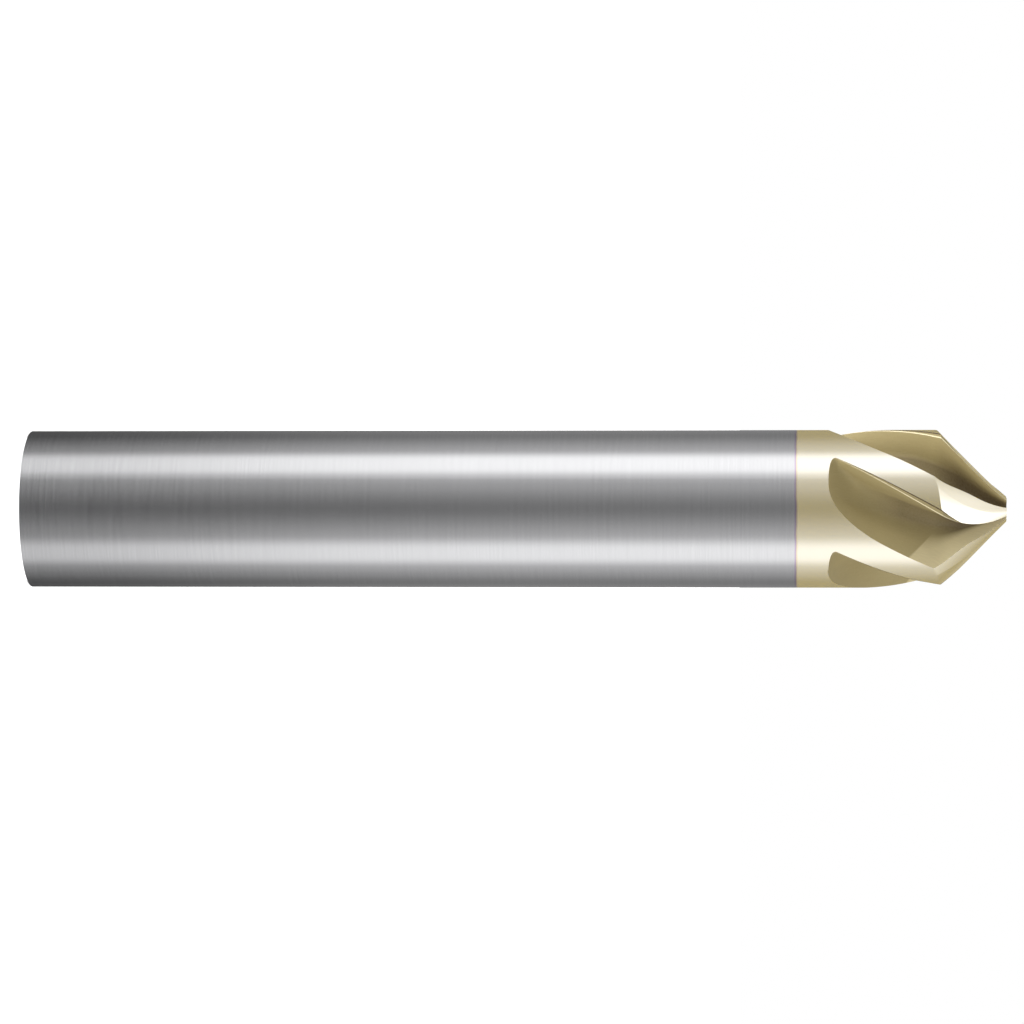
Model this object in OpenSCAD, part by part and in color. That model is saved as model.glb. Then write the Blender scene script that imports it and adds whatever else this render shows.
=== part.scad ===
// Chamfer mill, ground from one rod of solid carbide.
// It stands on the end of its shank with the cutting point uppermost.
// Distances along the tool, called s here, are counted back from the flat at the tip.
// The fluted head is a loft through sections worked out from the grinding of its teeth.

/* [Blank] */
// Diameter of the shank, and of the fluted body in line with it
shank_d = 12; // [11:0.5:14]
// Length from the end of the shank to the flat at the tip
overall_length = 75; // [50:1:120]
// Bevel round the end of the shank
end_bevel = 0.4; // [0.2:0.1:0.8]

/* [Point] */
// Angle between the two sides of the cone
point_angle = 90; // [80:5:100]
// Diameter of the small flat at the tip
tip_d = 2; // [1.6:0.1:2.4]
// Clearance angle of the ground band next to a cutting edge
first_relief = 9; // [6:1:12]
// Width of that band, in degrees round the axis
first_relief_width = 19; // [14:1:22]
// Clearance angle of the second band, behind the first
second_relief = 18; // [14:1:22]

/* [Flutes] */
// Number of flutes
flutes = 5; // [4:1:6]
// Angle of the right-hand helix at the cutting edge
helix_angle = 30.5; // [20:0.5:35]
// Distance from the tip to the far end of a flute
flute_length = 13.5; // [12.7:0.1:18]
// Depth of a flute along the body
flute_depth = 2.7; // [2.2:0.1:3]
// Width of a land, measured round the body
land_width = 2.7; // [2.2:0.1:3]
// Height of the rounding between a cutting face and the floor of its flute
root_height = 1.1; // [0.8:0.1:1.4]
// Lean of a cutting face off the line to the axis
face_lean = 1; // [0.5:0.5:3]
// Radius of the arc in which the floor climbs out at the far end
runout_r = 4.5; // [4:0.1:6]
// Direction of the first cutting edge at the tip, anticlockwise from the X axis
first_edge = 303.5; // [0:0.5:359.5]

/* [Gash] */
// Distance past the shoulder at which the gash begins, on the floor of the flute
gash_length = 0.4; // [0.2:0.1:1]
// Distance past the shoulder at which the gash begins, at the heel of the flute
gash_heel_length = 2.6; // [1.6:0.1:2.8]
// Radius of the solid centre that the gashes leave at the tip
web_r = 0.35; // [0.3:0.05:0.5]
// Width of a flute near the tip, as a share of its width along the body
gash_narrowing = 0.75; // [0.7:0.01:0.85]
// Distance from the tip over which a flute keeps that narrow width
narrow_length = 2.4; // [1.5:0.1:3]
// Width of the bevel on the corner of a land, where the land meets the cone
corner_bevel = 0.45; // [0.3:0.05:0.6]
// Slope of that bevel away from the land
corner_bevel_slope = 10; // [5:1:25]
// Length of cone over which that bevel fades out
bevel_fade = 1.5; // [1:0.25:2.5]

/* [Hidden] */

body_r = shank_d / 2;
tip_r = tip_d / 2;
cone_slope = tan(point_angle / 2);
cone_length = (body_r - tip_r) / cone_slope;
pitch = 360 / flutes;
degrees_per_mm = 180 / PI / body_r;
twist_rate = tan(helix_angle) * degrees_per_mm;

// A flute takes the pitch less the land, and the lowest line of its floor lies half way
body_flute_turn = pitch - land_width * degrees_per_mm;
core_r = body_r - flute_depth;
// The back of a flute rises from its floor as this power of the angle
back_power = 2.2;

// Where the floor leaves its depth to climb the run-out arc
runout_start = flute_length - sqrt(pow(runout_r, 2) - pow(runout_r - flute_depth, 2));
// Least length of body between two features of the flutes
shoulder_gap = 0.3;
// The head ends this far past its flutes, where it is plain and round
round_length = 0.1;
// Its plain end is this much smaller in radius, so that it meets the shank's flat and not its edge
seat_margin = 0.005;
head_length = flute_length + round_length;

// The crease where the gash begins runs back from the floor to the heel
gash_floor = cone_length + gash_length;
gash_heel = min(cone_length + gash_heel_length, runout_start - shoulder_gap);
// The gash begins ever more softly towards the floor, over this share of its length
gash_ease = 0.5;
// Close to the heel the gash gives way to the land, as this power of the way across
heel_power = 4;
// A flute begins to narrow this far past the shoulder
narrow_gap = 0.8;

// Narrowest bevel, and the least turn between two points of a section
hairline = 0.02;
hair_turn = 0.1;
// The first relief band takes no more than this share of a land
band_share = 0.8;

// Points on each part of a section, and sections on each part of the head
root_steps = 6;
back_steps = 8;
second_band_steps = 2;
first_band_steps = 6;
cone_rings = 10;
crease_rings = 3;
body_rings = 5;
runout_rings = 6;
// The last flute sections crowd together by this power as their flutes close
closing_power = 1.5;
// Depth at which the run-out counts as begun, and left over where it closes
first_depth = 0.05;
last_depth = 0.01;

function blend(from, to, share) = from + (to - from) * max(0, min(1, share));
function polar(r, turn) = [r * cos(turn), r * sin(turn)];
function run(from, to, steps) = [for (i = [0:steps]) from + (to - from) * i / steps];

// Radius of a land b degrees behind its cutting edge, relieved on the cone and full on the body
function relief_drop(b) =
    (tan(first_relief) * min(b, first_relief_width)
    + tan(second_relief) * max(0, b - first_relief_width)) * PI / 180;
function land_r(s, b) = min(body_r, (tip_r + s * cone_slope) * (1 - relief_drop(b)));

// Distance from the tip at which a relieved land reaches the body
function shoulder(b) = (body_r / (1 - relief_drop(b)) - tip_r) / cone_slope;

// Angle from a cutting edge to the heel of the next land
function smooth(share) = let (x = blend(0, 1, share)) x * x * (3 - 2 * x);
function narrowing(s) =
    blend(gash_narrowing, 1, smooth((s - narrow_length) / (cone_length + narrow_gap - narrow_length)));
function flute_turn(s) = body_flute_turn * narrowing(s);

// Height that the floor has climbed along the arc of the run-out
function climb(s) = runout_r - sqrt(max(0, pow(runout_r, 2) - pow(max(0, s - runout_start), 2)));

// Share of its radius that the gash leaves the back of a flute, and 1 before the gash begins
function gash_start(v) = blend(gash_floor, gash_heel, v * v);
function gash_share(s, v) =
    let (share = s / gash_start(v), ease = gash_ease * (1 - v))
    share <= 1 - ease ? share
    : share >= 1 + ease ? 1
    : 1 - pow(1 + ease - share, 2) / (4 * ease);

// Back of a flute, v being 0 half way across it and 1 at the heel along the body
// The gash cuts it in straight lines down to the solid centre, but the heel stays on the land
function back_r(s, v) =
    let (
        flute = core_r + flute_depth * pow(v, back_power) + climb(s),
        gashed = blend(web_r, flute, gash_share(s, v)),
        at_heel = flute * land_r(s, pitch - flute_turn(s)) / body_r
    )
    blend(gashed, at_heel, pow(v, heel_power));
function back_turn(s, v) = flute_turn(s) * (1 + v) / 2;

// Value of v at which the back of the flute comes out through the next land
function heel(s) = pow(max(0, 1 - climb(s) / flute_depth), 1 / back_power);

// Distance from the tip at which the heel itself passes the shoulder
function heel_shoulder(s, steps = 5) =
    steps == 0 ? s : heel_shoulder(shoulder(pitch - flute_turn(s)), steps - 1);

// Width of the bevel on the corner between a land and its cutting face
function bevel(s) =
    s > cone_length
    ? blend(corner_bevel, hairline, (s - cone_length) / (flute_length - cone_length))
    : blend(corner_bevel, hairline, (cone_length - s) / bevel_fade);

// The shoulder across a land, from its heel at 0 to its corner bevel at 1
cone_heel = heel_shoulder(cone_length);
heel_behind = pitch - flute_turn(cone_heel);
bevel_behind = corner_bevel * degrees_per_mm;
function on_shoulder(share) = shoulder(blend(heel_behind, bevel_behind, share));

// One tooth space and the land after it, from s at the cutting edge to heel_s at the heel
// Each point is a radius, an angle from the cutting edge, and its own distance from the tip
// On the cone a section leans, because a relieved land meets the body later at its heel
function tooth(s, heel_s, on_cone = false) =
    let (
        edge_r = land_r(s, 0),
        low = back_r(s, 0),
        depth = edge_r - low,
        root = root_height * (s > cone_length ? 1 : min(1, depth / flute_depth)),
        // Past the end of the cutting face the flute opens part way down its root
        past_face = depth < root,
        start = past_face ? asin(1 - depth / root) : 0,
        face_turn = back_turn(s, 0),
        edge_turn = face_turn * (1 - cos(start)),
        wide = bevel(s),
        deep = past_face ? 0 : wide * tan(corner_bevel_slope),
        v_heel = heel(heel_s),
        heel_turn = back_turn(heel_s, v_heel),
        last_turn = pitch + edge_turn - wide / edge_r * 180 / PI,
        band = min(first_relief_width, band_share * (pitch - heel_turn)),
        land_turns = concat(
            run(heel_turn, pitch - band, second_band_steps),
            [for (i = [1:first_band_steps]) blend(pitch - band, last_turn, i / first_band_steps)]
        )
    )
    concat(
        [[edge_r - deep, edge_turn - (past_face ? hair_turn : 0), s]],
        [for (t = run(start, 90, root_steps))
            let (lean = past_face ? 0 : face_lean * cos(t))
            [low + root * (1 - sin(t)), face_turn * (1 - cos(t)) + lean, s]],
        [for (i = [1:back_steps - 1])
            let (v = v_heel * i / back_steps, own_s = blend(s, heel_s, pow(i / back_steps, 2)))
            [back_r(own_s, v), back_turn(own_s, v), own_s]],
        [for (turn = land_turns)
            let (
                share = (turn - heel_turn) / (last_turn - heel_turn),
                own_s = on_cone ? on_shoulder(share) * s / cone_length : blend(heel_s, s, share)
            )
            [land_r(own_s, pitch - turn), turn, own_s]]
    );

// The last section is plain and round, with the same count of points
function round_tooth(s) =
    let (last_s = s - round_length - last_depth)
    [for (p = tooth(last_s, last_s)) [body_r - seat_margin, p[1], s]];

// Whole section: the tooth repeated round the axis and turned along the helix
function ring(points) =
    [for (k = [0:flutes - 1], p = points)
        concat(polar(p[0], first_edge - twist_rate * p[2] + k * pitch + p[1]), overall_length - p[2])];

// Depths that the floor has climbed at the sections of the run-out
runout_depths = concat(
    run(first_depth, flute_depth - root_height, runout_rings),
    [for (i = [1:runout_rings])
        flute_depth - last_depth
        - (root_height - last_depth) * pow(1 - i / runout_rings, closing_power)]
);
function runout_s(climbed) =
    runout_start + sqrt(pow(runout_r, 2) - pow(runout_r - climbed, 2));

rings = concat(
    [for (i = [0:cone_rings])
        ring(tooth(cone_length * i / cone_rings, cone_heel * i / cone_rings, on_cone = true))],
    [for (i = [1:crease_rings])
        let (
            share = i / crease_rings,
            edge_s = blend(cone_length, gash_floor, share),
            points = tooth(edge_s, blend(cone_heel, gash_heel, share))
        )
        ring(points)],
    [for (i = [1:body_rings])
        let (share = i / body_rings)
        ring(tooth(blend(gash_floor, runout_start, share), blend(gash_heel, runout_start, share)))],
    [for (climbed = runout_depths) let (s = runout_s(climbed)) ring(tooth(s, s))],
    [ring(round_tooth(head_length))]
);

// Solid through a row of rings, the first uppermost, with both ends closed to the axis
module loft(rings) {
    n = len(rings);
    m = len(rings[0]);
    sides = [for (i = [0:n - 2], j = [0:m - 1])
        let (a = i * m + j, b = i * m + (j + 1) % m)
        each [[a, b, b + m], [a, b + m, a + m]]];
    top = [for (j = [0:m - 1]) [n * m, (j + 1) % m, j]];
    bottom = [for (j = [0:m - 1]) [n * m + 1, (n - 1) * m + j, (n - 1) * m + (j + 1) % m]];
    centres = [[0, 0, rings[0][0].z], [0, 0, rings[n - 1][0].z]];
    polyhedron(points = concat([for (r = rings) each r], centres), faces = concat(sides, top, bottom));
}

module shank() {
    top = overall_length - head_length;
    rotate_extrude($fn = 120)
        polygon([
            [0, 0],
            [body_r - end_bevel, 0],
            [body_r, end_bevel],
            [body_r, top],
            [0, top]
        ]);
}

module chamfer_mill() {
    color([0.62, 0.6, 0.55])
        union() {
            shank();
            loft(rings);
        }
}

chamfer_mill();
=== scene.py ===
# A chamfer mill standing on the end of its shank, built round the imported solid.
# Its lengths are worked out in millimetres and turned into metres when the mesh is made.
import math

import bpy
from mathutils import Matrix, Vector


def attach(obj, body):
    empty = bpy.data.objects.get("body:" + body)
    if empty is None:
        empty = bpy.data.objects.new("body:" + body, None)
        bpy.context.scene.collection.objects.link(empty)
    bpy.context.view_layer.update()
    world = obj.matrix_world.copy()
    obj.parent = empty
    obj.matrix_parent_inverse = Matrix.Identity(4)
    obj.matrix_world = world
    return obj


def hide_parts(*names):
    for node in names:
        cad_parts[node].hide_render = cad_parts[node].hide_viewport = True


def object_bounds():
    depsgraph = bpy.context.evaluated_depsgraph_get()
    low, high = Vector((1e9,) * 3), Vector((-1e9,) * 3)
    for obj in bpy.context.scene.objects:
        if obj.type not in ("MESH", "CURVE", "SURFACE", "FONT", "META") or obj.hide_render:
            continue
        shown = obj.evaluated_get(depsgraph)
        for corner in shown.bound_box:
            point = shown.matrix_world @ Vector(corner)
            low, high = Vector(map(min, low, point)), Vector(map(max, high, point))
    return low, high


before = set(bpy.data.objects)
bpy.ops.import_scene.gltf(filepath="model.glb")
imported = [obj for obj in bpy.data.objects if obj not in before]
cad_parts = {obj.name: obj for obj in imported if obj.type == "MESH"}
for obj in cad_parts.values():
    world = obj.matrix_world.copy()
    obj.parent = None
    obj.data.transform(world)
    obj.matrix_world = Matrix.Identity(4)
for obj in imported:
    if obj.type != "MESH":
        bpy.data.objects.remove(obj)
cad_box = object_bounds()

# The chamfer mill.
# One rod of cemented carbide, ground round, then fluted, gashed and relieved by grinding wheels.
# The cutting head is coated in a vacuum, and the coating stops in a soft edge on the shank.
# Below, s is a point's distance from the tip, and turn is its angle on from the cutting edge.
SHANK_RADIUS = round(cad_box[1][0] * 1000, 3)
LENGTH = round(cad_box[1][2] * 1000, 3)
END_BEVEL = 0.4
TIP_RADIUS = 1.0
CONE_LENGTH = SHANK_RADIUS - TIP_RADIUS

# The flutes, and how they run out of the body at the far end
FLUTES = 5
PITCH = 360.0 / FLUTES
DEGREES_PER_MM = 180.0 / math.pi / SHANK_RADIUS
HELIX = math.radians(30.5)
TWIST_RATE = math.tan(HELIX) * DEGREES_PER_MM
FIRST_EDGE = 303.5
FLUTE_LENGTH = 13.5
FLUTE_DEPTH = 2.7
CORE_RADIUS = SHANK_RADIUS - FLUTE_DEPTH
LAND_WIDTH = 2.7
LAND_TURN = LAND_WIDTH * DEGREES_PER_MM
ROOT_HEIGHT = 1.1
FACE_LEAN = 1.0
BACK_POWER = 2.2
RUNOUT_RADIUS = 4.5
RUNOUT_START = FLUTE_LENGTH - math.sqrt(RUNOUT_RADIUS**2 - (RUNOUT_RADIUS - FLUTE_DEPTH) ** 2)
HEAD_LENGTH = FLUTE_LENGTH + 0.1
CLOSING_GAP = 0.004

# The two bands of relief behind each cutting edge, the first 19 degrees wide
FIRST_RELIEF = math.tan(math.radians(9))
SECOND_RELIEF = math.tan(math.radians(18))
FIRST_BAND = 19.0
BAND_SHARE = 0.8

# The gash, which deepens and narrows each flute towards the tip
GASH_LENGTH = 5.4
GASH_BACK_LENGTH = 7.6
GASH_EASE = 0.5
WEB_RADIUS = 0.35
HEEL_POWER = 4
NARROWEST = 0.75
NARROW_START = 5.8
NARROW_END = 2.4
TIP_EDGE_TURN = 0.1

# The bevel on the corner of each land. It is sunk a little behind a narrow step, and the
# cutting edge next to it is honed.
CORNER_BEVEL = 0.45
CORNER_BEVEL_SLOPE = math.tan(math.radians(10))
BEVEL_FADE = 1.5
HAIRLINE = 0.02
BEVEL_STEP = 0.06
STEP_SHARE = 0.24
LEAST_HONE_SHARE = 0.1
HONE = 0.08

# Mesh lines across one tooth space, and rows along the tool
FACE_STEPS = 3
ROOT_STEPS = 14
BACK_STEPS = 28
SECOND_BAND_STEPS = 8
FIRST_BAND_STEPS = 12


def blend(start, end, share):
    return start + (end - start) * max(0.0, min(1.0, share))


def relief_drop(behind):
    """How far a land has fallen this many degrees behind its cutting edge, as a share of its radius."""
    first = FIRST_RELIEF * min(behind, FIRST_BAND)
    second = SECOND_RELIEF * max(0.0, behind - FIRST_BAND)
    return math.radians(first + second)


def land_radius(s, behind):
    return min(SHANK_RADIUS, (TIP_RADIUS + s) * (1 - relief_drop(behind)))


def shoulder(behind):
    """Where a relieved land meets the round body."""
    return SHANK_RADIUS / (1 - relief_drop(behind)) - TIP_RADIUS


def flute_turn(s):
    """Angle from a cutting edge to the heel of the next land, narrower near the tip."""
    share = blend(0.0, 1.0, (s - NARROW_END) / (NARROW_START - NARROW_END))
    return (PITCH - LAND_TURN) * blend(NARROWEST, 1.0, share * share * (3 - 2 * share))


def climb(s):
    """How far the floor of a flute has risen along its run-out arc."""
    along = max(0.0, s - RUNOUT_START)
    return RUNOUT_RADIUS - math.sqrt(max(0.0, RUNOUT_RADIUS**2 - along**2))


def gash_start(v):
    return blend(GASH_LENGTH, GASH_BACK_LENGTH, v * v)


def gash_depth(s, v):
    """Share of its own radius that the gash leaves the back of a flute, 1 where it hasn't begun.
    It begins in a crease at the heel, and ever more softly towards the floor."""
    share = s / gash_start(v)
    ease = GASH_EASE * (1 - v)
    if share <= 1 - ease:
        return share
    return 1.0 if share >= 1 + ease else 1 - (1 + ease - share) ** 2 / (4 * ease)


def back_radius(s, v):
    """The back of a flute: v is 0 half way across it and 1 at the heel. The gash cuts it in
    straight lines down to the solid centre, except at the heel, which stays on the land."""
    flute = CORE_RADIUS + FLUTE_DEPTH * v**BACK_POWER + climb(s)
    gashed = blend(WEB_RADIUS, flute, gash_depth(s, v))
    at_heel = flute * land_radius(s, PITCH - flute_turn(s)) / SHANK_RADIUS
    return blend(gashed, at_heel, v**HEEL_POWER)


def back_turn(s, v):
    return flute_turn(s) * (1 + v) / 2


def heel(s):
    """The v at which the back of the flute comes out through the next land."""
    return max(0.0, 1 - climb(s) / FLUTE_DEPTH) ** (1 / BACK_POWER)


def bevel_width(s):
    if s > CONE_LENGTH:
        return blend(CORNER_BEVEL, HAIRLINE, (s - CONE_LENGTH) / (FLUTE_LENGTH - CONE_LENGTH))
    return blend(CORNER_BEVEL, HAIRLINE, (CONE_LENGTH - s) / BEVEL_FADE)


def tooth_space(edge_s, heel_s, land_s):
    """One flute and the land after it, as (radius, turn, s) from the cutting edge onward."""
    edge_radius = land_radius(edge_s, 0)
    low = back_radius(edge_s, 0)
    depth = edge_radius - low
    root = ROOT_HEIGHT * (1 if edge_s > CONE_LENGTH else min(1, depth / FLUTE_DEPTH))
    # Near the tip the flute is no deeper than its rounding, and has no straight face
    past_face = depth < root
    start = math.asin(max(0.0, 1 - depth / root)) if past_face else 0.0
    face_turn = back_turn(edge_s, 0)
    edge_turn = face_turn * (1 - math.cos(start))
    wide = bevel_width(edge_s)
    share = 0 if past_face else wide / CORNER_BEVEL
    step = BEVEL_STEP * share
    hone = HONE * share
    sunk = step + wide * CORNER_BEVEL_SLOPE * share
    edge = (edge_radius - sunk - hone, edge_turn - TIP_EDGE_TURN * past_face)
    lean = 0 if past_face else FACE_LEAN
    rounding = []
    for i in range(ROOT_STEPS + 1):
        t = blend(start, math.pi / 2, i / ROOT_STEPS)
        turn = face_turn * (1 - math.cos(t)) + lean * math.cos(t)
        rounding.append((low + root * (1 - math.sin(t)), turn))
    face = [
        (blend(edge[0], rounding[0][0], i / FACE_STEPS), blend(edge[1], rounding[0][1], i / FACE_STEPS))
        for i in range(FACE_STEPS)
    ]
    points = [(radius, turn, edge_s) for radius, turn in face + rounding]
    v_heel = heel(heel_s)
    for i in range(1, BACK_STEPS):
        v = v_heel * i / BACK_STEPS
        own_s = blend(edge_s, heel_s, (i / BACK_STEPS) ** 2)
        points.append((back_radius(own_s, v), back_turn(own_s, v), own_s))
    heel_turn = back_turn(heel_s, v_heel)
    last_turn = PITCH + edge_turn - wide / edge_radius * 180 / math.pi
    band_turn = PITCH - min(FIRST_BAND, BAND_SHARE * (PITCH - heel_turn))
    turns = [blend(heel_turn, band_turn, i / SECOND_BAND_STEPS) for i in range(SECOND_BAND_STEPS + 1)]
    turns += [blend(band_turn, last_turn, i / FIRST_BAND_STEPS) for i in range(1, FIRST_BAND_STEPS + 1)]
    for turn in turns:
        share = (turn - heel_turn) / (last_turn - heel_turn)
        own_s = land_s(share)
        points.append((land_radius(own_s, PITCH - turn), turn, own_s))
    next_edge = PITCH + edge[1]
    points.append((edge_radius - step, blend(last_turn, next_edge, STEP_SHARE), edge_s))
    hone_share = max(LEAST_HONE_SHARE, hone / wide)
    points.append((edge_radius - sunk, blend(next_edge, last_turn, hone_share), edge_s))
    return points


CONE_HEEL = CONE_LENGTH
for _ in range(5):
    CONE_HEEL = shoulder(PITCH - flute_turn(CONE_HEEL))
HEEL_TURN = PITCH - flute_turn(CONE_HEEL)
BEVEL_TURN = CORNER_BEVEL * DEGREES_PER_MM


def on_shoulder(share):
    """The shoulder's place on a land, from the heel at 0 to the corner bevel at 1."""
    return shoulder(blend(HEEL_TURN, BEVEL_TURN, share))


def cone_row(down):
    return tooth_space(CONE_LENGTH * down, CONE_HEEL * down, lambda share: on_shoulder(share) * down)


def crease_row(down):
    return tooth_space(
        blend(CONE_LENGTH, GASH_LENGTH, down),
        blend(CONE_HEEL, GASH_BACK_LENGTH, down),
        lambda share: blend(on_shoulder(share), blend(GASH_BACK_LENGTH, GASH_LENGTH, share), down),
    )


def body_row(down):
    return tooth_space(
        blend(GASH_LENGTH, RUNOUT_START, down),
        blend(GASH_BACK_LENGTH, RUNOUT_START, down),
        lambda share: blend(blend(GASH_BACK_LENGTH, GASH_LENGTH, share), RUNOUT_START, down),
    )


def runout_row(climbed):
    s = RUNOUT_START + math.sqrt(RUNOUT_RADIUS**2 - (RUNOUT_RADIUS - climbed) ** 2)
    return tooth_space(s, s, lambda share: s)


CONE_ROWS = 36
CREASE_ROWS = 10
BODY_ROWS = 16
RUNOUT_ROWS = 20
CLOSING_ROWS = 28
rows = [cone_row(i / CONE_ROWS) for i in range(CONE_ROWS + 1)]
shoulder_row = len(rows) - 1
rows += [crease_row(i / CREASE_ROWS) for i in range(1, CREASE_ROWS + 1)]
gash_row = len(rows) - 1
rows += [body_row(i / BODY_ROWS) for i in range(1, BODY_ROWS + 1)]
for i in range(1, RUNOUT_ROWS + 1):
    rows.append(runout_row((FLUTE_DEPTH - ROOT_HEIGHT) * (i / RUNOUT_ROWS) ** 2))
for i in range(1, CLOSING_ROWS + 1):
    left = (ROOT_HEIGHT - CLOSING_GAP) * (1 - i / CLOSING_ROWS) ** 2
    rows.append(runout_row(FLUTE_DEPTH - CLOSING_GAP - left))
closing_row = len(rows) - 1
closed = rows[-1]
BEVEL_START = LENGTH - END_BEVEL
SHANK_RINGS = (HEAD_LENGTH, 15.2, 16.0, 16.8, 30.0, 45.0, 60.0, BEVEL_START - 0.15, BEVEL_START)
END_RINGS = (4.0, 2.0, 0.5)
for s in SHANK_RINGS:
    rows.append([(SHANK_RADIUS, turn, s) for _, turn, _ in closed])
bevel_row = len(rows) - 1
rows.append([(SHANK_RADIUS - END_BEVEL, turn, LENGTH) for _, turn, _ in closed])
end_row = len(rows) - 1
for radius in END_RINGS:
    rows.append([(radius, turn, LENGTH) for _, turn, _ in closed])

COLUMNS = len(rows[0])
BEVEL_COLUMN = COLUMNS - 3
BAND_COLUMN = BEVEL_COLUMN - FIRST_BAND_STEPS
HEEL_COLUMN = BAND_COLUMN - SECOND_BAND_STEPS


# Where the coat is painted paler on the gash, partly as painted light, and where painted
# shade darkens it. Across a flute, v runs from -1 at the cutting edge to 1 at the heel,
# and each pair is where the change starts and ends.
PALE_ACROSS = (0.4, 0.8)
PALE_ALONG = (1.0, 6.0)
PALE_LOSS = 0.3
POCKET_DEPTH = (0.047, 0.362)
POCKET_ALONG = (5.6, 3.6)
POCKET_SHARE = 0.75
ROOT_FROM_EDGE = (-0.98, -0.86)
ROOT_TO_HEEL = (0.7, -0.1)
ROOT_ALONG = (11.5, 8.0)
ROOT_SHARE = 0.65
OPEN_GASH = (0.0, 0.7)


def rise(value, ends):
    """0 where it starts and 1 where it ends, in a straight line between."""
    start, end = ends
    return max(0.0, min(1.0, (value - start) / (end - start)))


def gash_pale_and_lit(s, v):
    """How far the gash has bared the back of a flute here. It is ground after the flute, and
    the coat is painted paler on it, partly as painted light, most towards the tip."""
    if s >= gash_start(max(0.0, v)) - 0.01:
        return 0.0
    return rise(v, PALE_ACROSS) * (1 - PALE_LOSS * rise(s, PALE_ALONG))


def painted_recess_shade(radius, s, v, gashed_here):
    """How much painted shade darkens the coat here: in the pocket near the tip and at the
    root of a flute by the cutting face, where shade falls, fading out on the gash."""
    around = land_radius(s, 0)
    deep = rise((around - radius) / around, POCKET_DEPTH)
    pocket = POCKET_SHARE * rise(s, POCKET_ALONG) * deep
    root = ROOT_SHARE * rise(v, ROOT_FROM_EDGE) * rise(v, ROOT_TO_HEEL) * rise(s, ROOT_ALONG)
    return (1 - (1 - pocket) * (1 - root)) * (1 - rise(gashed_here, OPEN_GASH))


vertices = []
across = []
gashed = []
recess_shade_values = []
for row in rows:
    for tooth in range(FLUTES):
        for j, (radius, turn, s) in enumerate(row):
            v = 2 * turn / flute_turn(s) - 1
            gashed_here = gash_pale_and_lit(s, v) if j <= HEEL_COLUMN else 0.0
            gashed.append(gashed_here)
            recess_shade_values.append(painted_recess_shade(radius, s, v, gashed_here) if j < HEEL_COLUMN else 0.0)
            angle = math.radians(FIRST_EDGE - TWIST_RATE * s + tooth * PITCH + turn)
            if s > HEAD_LENGTH:
                angle = math.radians(FIRST_EDGE - TWIST_RATE * HEAD_LENGTH + tooth * PITCH + turn)
            vertices.append((radius * math.cos(angle), radius * math.sin(angle), LENGTH - s))
    section = vertices[-FLUTES * COLUMNS :][: COLUMNS + 1]
    run = [0.0]
    for one, other in zip(section, section[1:]):
        run.append(run[-1] + math.dist(one[:2], other[:2]))
    across.append(run)

AROUND = FLUTES * COLUMNS
# How light each narrow face of the corner bevel is painted: painted shade on its step,
# less on its flat, and a painted highlight on its honed edge
EDGE_PAINTED_LIGHT = {BEVEL_COLUMN: 0.0, COLUMNS - 2: 0.3, COLUMNS - 1: 1.0}
PLAIN_TONE = 0.5
GASH_CREASE_START = FACE_STEPS + ROOT_STEPS + BACK_STEPS / 3
faces = []
finishes = []
grinding = []
edge_painted_light = []
sharp = set()
for i in range(len(rows) - 1):
    for tooth in range(FLUTES):
        for j in range(COLUMNS):
            here = tooth * COLUMNS + j
            beside = (here + 1) % AROUND
            a, b = i * AROUND + here, i * AROUND + beside
            c, d = b + AROUND, a + AROUND
            faces.append((a, d, c, b))
            ground_later = j < HEEL_COLUMN or j >= BEVEL_COLUMN
            finishes.append(1 if ground_later and i < closing_row else 0)
            edge_painted_light.append(EDGE_PAINTED_LIGHT.get(j, PLAIN_TONE))
            s_a, s_b = LENGTH - vertices[a][2], LENGTH - vertices[b][2]
            s_c, s_d = LENGTH - vertices[c][2], LENGTH - vertices[d][2]
            grinding += [
                (across[i][j], s_a),
                (across[i + 1][j], s_d),
                (across[i + 1][j + 1], s_c),
                (across[i][j + 1], s_b),
            ]
            if i <= closing_row and j in (0, HEEL_COLUMN, BEVEL_COLUMN, COLUMNS - 2, COLUMNS - 1):
                sharp.add((a, d))
            if i < shoulder_row and j == BAND_COLUMN:
                sharp.add((a, d))
            if i in (0, bevel_row, end_row):
                sharp.add((a, b))
            if i == shoulder_row and j >= HEEL_COLUMN:
                sharp.add((a, b))
            if i == gash_row and GASH_CREASE_START < j < HEEL_COLUMN:
                sharp.add((a, b))
            if i == closing_row + 1 and j < HEEL_COLUMN:
                sharp.add((a, b))
for centre, ring, height in ((len(vertices), 0, LENGTH), (len(vertices) + 1, len(rows) - 1, 0.0)):
    vertices.append((0.0, 0.0, height))
    for here in range(AROUND):
        a, b = ring * AROUND + here, ring * AROUND + (here + 1) % AROUND
        faces.append((centre, a, b) if ring == 0 else (centre, b, a))
        finishes.append(0)
        grinding += [(0.0, 0.0), (1.0, 0.0), (1.0, 1.0)]

tool_mesh = bpy.data.meshes.new("chamfer_mill_body")
tool_mesh.from_pydata([(x / 1000, y / 1000, z / 1000) for x, y, z in vertices], [], faces)
tool_mesh.polygons.foreach_set("use_smooth", [True] * len(faces))
tool_mesh.polygons.foreach_set("material_index", finishes)
layer = tool_mesh.uv_layers.new(name="grinding")
layer.uv.foreach_set("vector", [value for pair in grinding for value in pair])
for edge in tool_mesh.edges:
    one, other = edge.vertices
    if (one, other) in sharp or (other, one) in sharp:
        edge.use_edge_sharp = True
finer = tool_mesh.attributes.new(name="gashed", type="FLOAT", domain="POINT")
finer.data.foreach_set("value", gashed + [0.0, 0.0])
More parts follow.
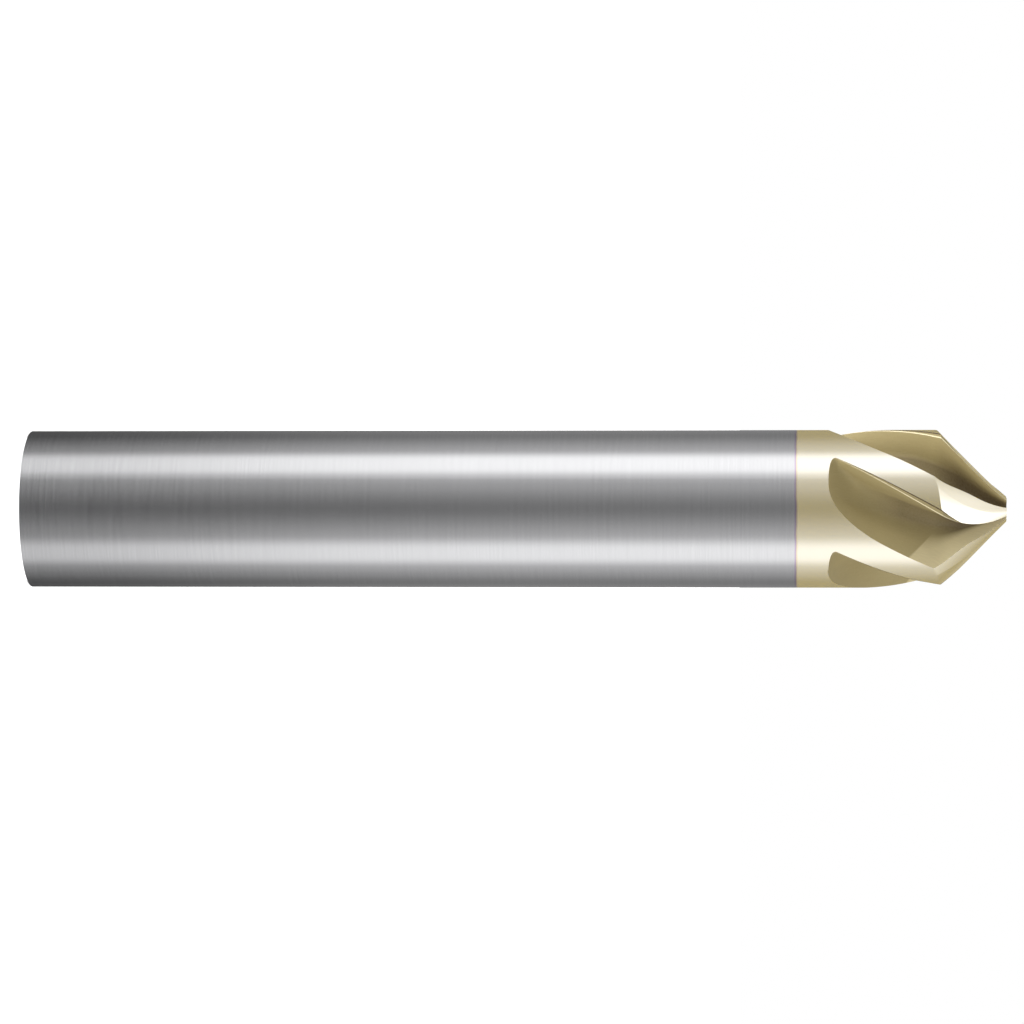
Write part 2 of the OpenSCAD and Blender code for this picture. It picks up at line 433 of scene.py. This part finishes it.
# Painted shade in the pocket near the tip and at the root of each flute, for the flute's material.
recess_shade_layer = tool_mesh.attributes.new(name="painted recess shade", type="FLOAT", domain="POINT")
recess_shade_layer.data.foreach_set("value", recess_shade_values + [0.0, 0.0])
edge_light_layer = tool_mesh.attributes.new(name="edge painted light", type="FLOAT", domain="FACE")
edge_painted_light += [PLAIN_TONE] * (len(faces) - len(edge_painted_light))
edge_light_layer.data.foreach_set("value", edge_painted_light)
tool_mesh.update()
tool = bpy.data.objects.new("chamfer_mill_body", tool_mesh)
bpy.context.collection.objects.link(tool)


def node_maker(tree):
    """Adds a node of the kind named, sets its values, and joins its inputs to other nodes' outputs."""

    def make(kind, inputs=(), **settings):
        node = tree.nodes.new(kind)
        for name, value in settings.items():
            setattr(node, name, value)
        for name, value in dict(inputs).items():
            socket = node.inputs[name]
            if isinstance(value, bpy.types.NodeSocket):
                tree.links.new(value, socket)
            else:
                socket.default_value = value
        return node

    return make


def finish_material(name):
    material = bpy.data.materials.new(name)
    material.use_nodes = True
    tree = material.node_tree
    shader = tree.nodes["Principled BSDF"]
    return material, tree, shader, node_maker(tree)


def steps(make, value, start, end):
    """0 at start and 1 at end, smoothly."""
    inputs = {"Value": value, "From Min": start, "From Max": end}
    return make("ShaderNodeMapRange", inputs, interpolation_type="SMOOTHSTEP").outputs["Result"]


def between(make, value, low, high):
    """The range from 0 to 1 stretched from low to high."""
    return make("ShaderNodeMapRange", {"Value": value, "To Min": low, "To Max": high}).outputs["Result"]


def mixed(make, share, one, other):
    inputs = {"Factor": share, "A": one, "B": other}
    return make("ShaderNodeMix", inputs, data_type="RGBA").outputs["Result"]


def grinding_lines(make, place, stretch, detail):
    """Fine lines left by the grinding wheel, drawn out along one axis."""
    drawn = make("ShaderNodeMapping", {"Vector": place, "Scale": stretch}).outputs["Vector"]
    noise = make("ShaderNodeTexNoise", {"Vector": drawn, "Scale": 1.0, "Detail": detail})
    return noise.outputs["Fac"]


# The bare blank, the coating, and the violet rim where the coating thins out
DARK_CARBIDE = (0.52, 0.52, 0.53, 1)
LIGHT_CARBIDE = (0.6, 0.6, 0.61, 1)
PALE_GOLD = (0.8, 0.57, 0.005, 1)
VIOLET = (0.46, 0.38, 0.5, 1)
COATING_LENGTH = 15.9
COATING_END = (LENGTH - COATING_LENGTH) / 1000
COATING_WANDER = 0.00006
COATING_EDGE = (COATING_END - 0.00008, COATING_END + 0.00014)
VIOLET_EDGE = (COATING_END - 0.0002, COATING_END - 0.00005)

outside, tree, shader, make = finish_material("ground carbide, coated at the head")
place = make("ShaderNodeTexCoord").outputs["Object"]
height = make("ShaderNodeSeparateXYZ", {"Vector": place}).outputs["Z"]
# Round the shank the lines run with the turning of the blank, thousands to a metre of length
lines = grinding_lines(make, place, (260, 260, 9000), 4)
cloud = make("ShaderNodeTexNoise", {"Vector": place, "Scale": 180, "Detail": 3}).outputs["Fac"]
edge_wander = make("ShaderNodeTexNoise", {"Vector": place, "Scale": 900, "Detail": 2}).outputs["Fac"]
wander = between(make, edge_wander, -COATING_WANDER, COATING_WANDER)
wandering = make("ShaderNodeMath", {0: height, 1: wander}, operation="ADD").outputs[0]
coated = steps(make, wandering, *COATING_EDGE)
thin = steps(make, wandering, *VIOLET_EDGE)
bare = mixed(make, lines, DARK_CARBIDE, LIGHT_CARBIDE)
tinted = mixed(make, thin, bare, VIOLET)
tree.links.new(mixed(make, coated, tinted, PALE_GOLD), shader.inputs["Base Color"])
tree.links.new(between(make, coated, 1.0, 0.0), shader.inputs["Metallic"])
rough = make(
    "ShaderNodeMath",
    {0: between(make, lines, 0.15, 0.21), 1: between(make, cloud, -0.02, 0.02)},
    operation="ADD",
).outputs[0]
tree.links.new(rough, shader.inputs["Roughness"])
bump = make("ShaderNodeBump", {"Strength": 0.25, "Distance": 0.000004, "Height": lines})
tree.links.new(bump.outputs["Normal"], shader.inputs["Normal"])
# The coating is a hard ceramic that mirrors over half of the light on top of its own colour
shader.inputs["IOR"].default_value = 7.9

# The coat in the flutes and on the gash, partly painted light there, painted shade in the
# pocket, at the root and on the bevel's step, a painted highlight on the honed edge, and the coat's own
# grain
OLIVE = (0.47, 0.385, 0.185, 1)
TAN = (0.98, 0.85, 0.51, 1)
SHADE_BROWN = (0.05, 0.025, 0.008, 1)
HIGHLIGHT_CREAM = (1.0, 0.9, 0.6, 1)
LINE_BROWN = (0.1, 0.07, 0.02, 1)
GRAIN_TAN = (0.7, 0.62, 0.4, 1)

flute, tree, shader, make = finish_material("coated flute")
wheel = make("ShaderNodeUVMap", uv_map="grinding").outputs["UV"]
lines = grinding_lines(make, wheel, (16, 1.2, 1), 5)
grain = make("ShaderNodeTexNoise", {"Vector": wheel, "Scale": 7, "Detail": 4}).outputs["Fac"]
gashed_share = make("ShaderNodeAttribute", attribute_name="gashed").outputs["Fac"]
recess_shade_share = make("ShaderNodeAttribute", attribute_name="painted recess shade").outputs["Fac"]
# Paler tan on the gash, partly painted light, lightest towards the tip.
open_colour = mixed(make, gashed_share, OLIVE, TAN)
# Painted shade: the coat goes dark brown in the pocket near the tip and at the root of a flute.
settled = mixed(make, recess_shade_share, open_colour, SHADE_BROWN)
tone = make("ShaderNodeAttribute", attribute_name="edge painted light").outputs["Fac"]
# A painted highlight on the honed edge, and painted shade on the bevel's step and, less, its flat.
settled = mixed(make, steps(make, tone, 0.6, 0.9), settled, HIGHLIGHT_CREAM)
settled = mixed(make, steps(make, tone, 0.4, 0.1), settled, SHADE_BROWN)
satin = mixed(make, between(make, lines, 0.0, 0.25), settled, LINE_BROWN)
satin = mixed(make, between(make, grain, 0.0, 0.15), satin, GRAIN_TAN)
tree.links.new(satin, shader.inputs["Base Color"])
tree.links.new(between(make, lines, 0.38, 0.54), shader.inputs["Roughness"])
bump = make("ShaderNodeBump", {"Strength": 0.35, "Distance": 0.00002, "Height": lines})
tree.links.new(bump.outputs["Normal"], shader.inputs["Normal"])
shader.inputs["IOR"].default_value = 1.25

tool_mesh.materials.append(outside)
tool_mesh.materials.append(flute)
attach(tool, "root")
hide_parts("chamfer_mill")

# The floor.
# A wide pale sheet that the tool stands on, which glows as a light table does. It is only
# there for its looks: the studio lights the tool, and the tool doesn't mirror the sheet.
REACH = 4
floor_mesh = bpy.data.meshes.new("floor")
corners = [(-REACH, -REACH, 0), (REACH, -REACH, 0), (REACH, REACH, 0), (-REACH, REACH, 0)]
floor_mesh.from_pydata(corners, [], [(0, 1, 2, 3)])
floor = bpy.data.objects.new("floor", floor_mesh)
bpy.context.collection.objects.link(floor)
white, tree, shader, make = finish_material("white light table")
shader.inputs["Base Color"].default_value = (0.9, 0.9, 0.9, 1)
shader.inputs["Roughness"].default_value = 0.9
shader.inputs["Emission Color"].default_value = (1, 1, 1, 1)
shader.inputs["Emission Strength"].default_value = 1.0
floor_mesh.materials.append(white)
floor.visible_glossy = False
floor.visible_diffuse = False

# The light.
# A small studio: two tall soft boxes at the sides, a wide one overhead, panels above and
# below, and dim walls. Azimuth is counted from the front of the tool towards +X, and
# elevation up from level, both in degrees.
world = bpy.data.worlds.new("studio")
bpy.context.scene.world = world
world.use_nodes = True
tree = world.node_tree
tree.nodes.clear()
make = node_maker(tree)


def calculate(operation, *values):
    inputs = {i: value for i, value in enumerate(values)}
    return make("ShaderNodeMath", inputs, operation=operation).outputs[0]


def fade(value, start, end):
    return steps(make, value, start, end)


direction = make("ShaderNodeTexCoord").outputs["Generated"]
parts = make("ShaderNodeSeparateXYZ", {"Vector": direction})
frontward = calculate("MULTIPLY", parts.outputs["Y"], -1.0)
bearing = calculate("ARCTAN2", parts.outputs["X"], frontward)
azimuth = calculate("MULTIPLY", bearing, 180 / math.pi)
elevation = calculate("MULTIPLY", calculate("ARCSINE", parts.outputs["Z"]), 180 / math.pi)

SOFT_BOXES = (
    # azimuth, half width, softness, brightness
    (-69, 17, 9, 1.02),
    (-68, 43, 26, 0.42),
    (68, 18, 11, 0.73),
    (68, 45, 26, 0.42),
)
boxes = 0.0
for box_azimuth, half_width, softness, brightness in SOFT_BOXES:
    away = calculate("ABSOLUTE", calculate("SUBTRACT", azimuth, box_azimuth))
    glow = calculate("MULTIPLY", fade(away, half_width + softness, half_width - softness), brightness)
    boxes = calculate("ADD", glow, boxes)

# The boxes and the walls are dimmer low down, and dim again above. Each pair is in degrees.
BOX_RISE = (-9.2, -6.9)
BOX_FOOT = 0.54
WALL_RISE = (-11, -3.8)
WALL_FOOT = 0.09
WALL_LIGHT = 0.29
UPPER_FADE = (32, 12)
UPPER_SHARE = 0.15
box_level = calculate("MULTIPLY_ADD", fade(elevation, *BOX_RISE), 1 - BOX_FOOT, BOX_FOOT)
walls = calculate("MULTIPLY_ADD", fade(elevation, *WALL_RISE), WALL_LIGHT - WALL_FOOT, WALL_FOOT)
upper_level = calculate("MULTIPLY_ADD", fade(elevation, *UPPER_FADE), 1 - UPPER_SHARE, UPPER_SHARE)
light = calculate("ADD", calculate("MULTIPLY", boxes, box_level), walls)
light = calculate("MULTIPLY", light, upper_level)

OVERHEAD_LEAN = math.radians(15)
OVERHEADS = (
    # degrees off its middle where it ends and is full, and its brightness
    (20, 9, 1.6),
    (45, 17, 0.9),
)
overhead = (0, math.sin(OVERHEAD_LEAN), math.cos(OVERHEAD_LEAN))
straight = make("ShaderNodeVectorMath", {0: direction, 1: overhead}, operation="DOT_PRODUCT")
off_middle = calculate("ARCCOSINE", straight.outputs["Value"])
off_overhead = calculate("MULTIPLY", off_middle, 180 / math.pi)
for rim, full, brightness in OVERHEADS:
    light = calculate("ADD", light, calculate("MULTIPLY", fade(off_overhead, rim, full), brightness))

# Three panels stand higher than the tool, behind it, at its left and at its right, and three
# lie lower, at its left, in front of it and behind it
PANELS = (
    # azimuths where it begins, is full, is full to and ends, then the same for elevation, brightness
    (105, 150, 230, 265, 5, 22, 40, 60, 0.25),
    (-150, -120, -48, -22, 8, 24, 55, 78, 0.5),
    (30, 60, 85, 110, 8, 24, 55, 78, 1.5),
    (-150, -120, -60, -20, -100, -95, -28, -14, 4.5),
    (-60, -20, 20, 60, -100, -95, -28, -14, 2.5),
    (90, 130, 200, 230, -100, -95, -28, -14, 2.6),
)
turned = calculate("ADD", azimuth, calculate("MULTIPLY", calculate("LESS_THAN", azimuth, -90), 360))
for panel in PANELS:
    left, left_full, right_full, right, low, low_full, high_full, high, brightness = panel
    place = turned if right > 180 else azimuth
    shape = calculate("MULTIPLY", fade(place, left, left_full), fade(place, right, right_full))
    level = calculate("MULTIPLY", fade(elevation, low, low_full), fade(elevation, high, high_full))
    glow = calculate("MULTIPLY", calculate("MULTIPLY", shape, level), brightness)
    light = calculate("ADD", light, glow)
sees = make("ShaderNodeLightPath")
studio = make("ShaderNodeBackground", {"Color": (1, 1, 1, 1), "Strength": light})
backdrop = make("ShaderNodeBackground", {"Color": (1, 1, 1, 1), "Strength": 1.0})
either = make(
    "ShaderNodeMixShader",
    {0: sees.outputs["Is Camera Ray"], 1: studio.outputs[0], 2: backdrop.outputs[0]},
)
make("ShaderNodeOutputWorld", {"Surface": either.outputs[0]})
bpy.context.scene.view_settings.view_transform = "Standard"

# The camera.
# It looks across the tool from the side, a little tilted, and is turned so that the tool
# lies with its point to the right, as in the photograph.
LOOK_DOWN = math.radians(3.81)
CAMERA_PLACE = (0.00024, -0.3289, 0.0593)
lens = bpy.data.cameras.new("camera")
lens.lens = 151.5
lens.sensor_width = 36
lens.clip_start = 0.01
camera = bpy.data.objects.new("camera", lens)
bpy.context.collection.objects.link(camera)
sine, cosine = math.sin(LOOK_DOWN), math.cos(LOOK_DOWN)
camera.matrix_world = Matrix(
    (
        (0, -1, 0, CAMERA_PLACE[0]),
        (sine, 0, -cosine, CAMERA_PLACE[1]),
        (cosine, 0, sine, CAMERA_PLACE[2]),
        (0, 0, 0, 1),
    )
)
bpy.context.scene.camera = camera
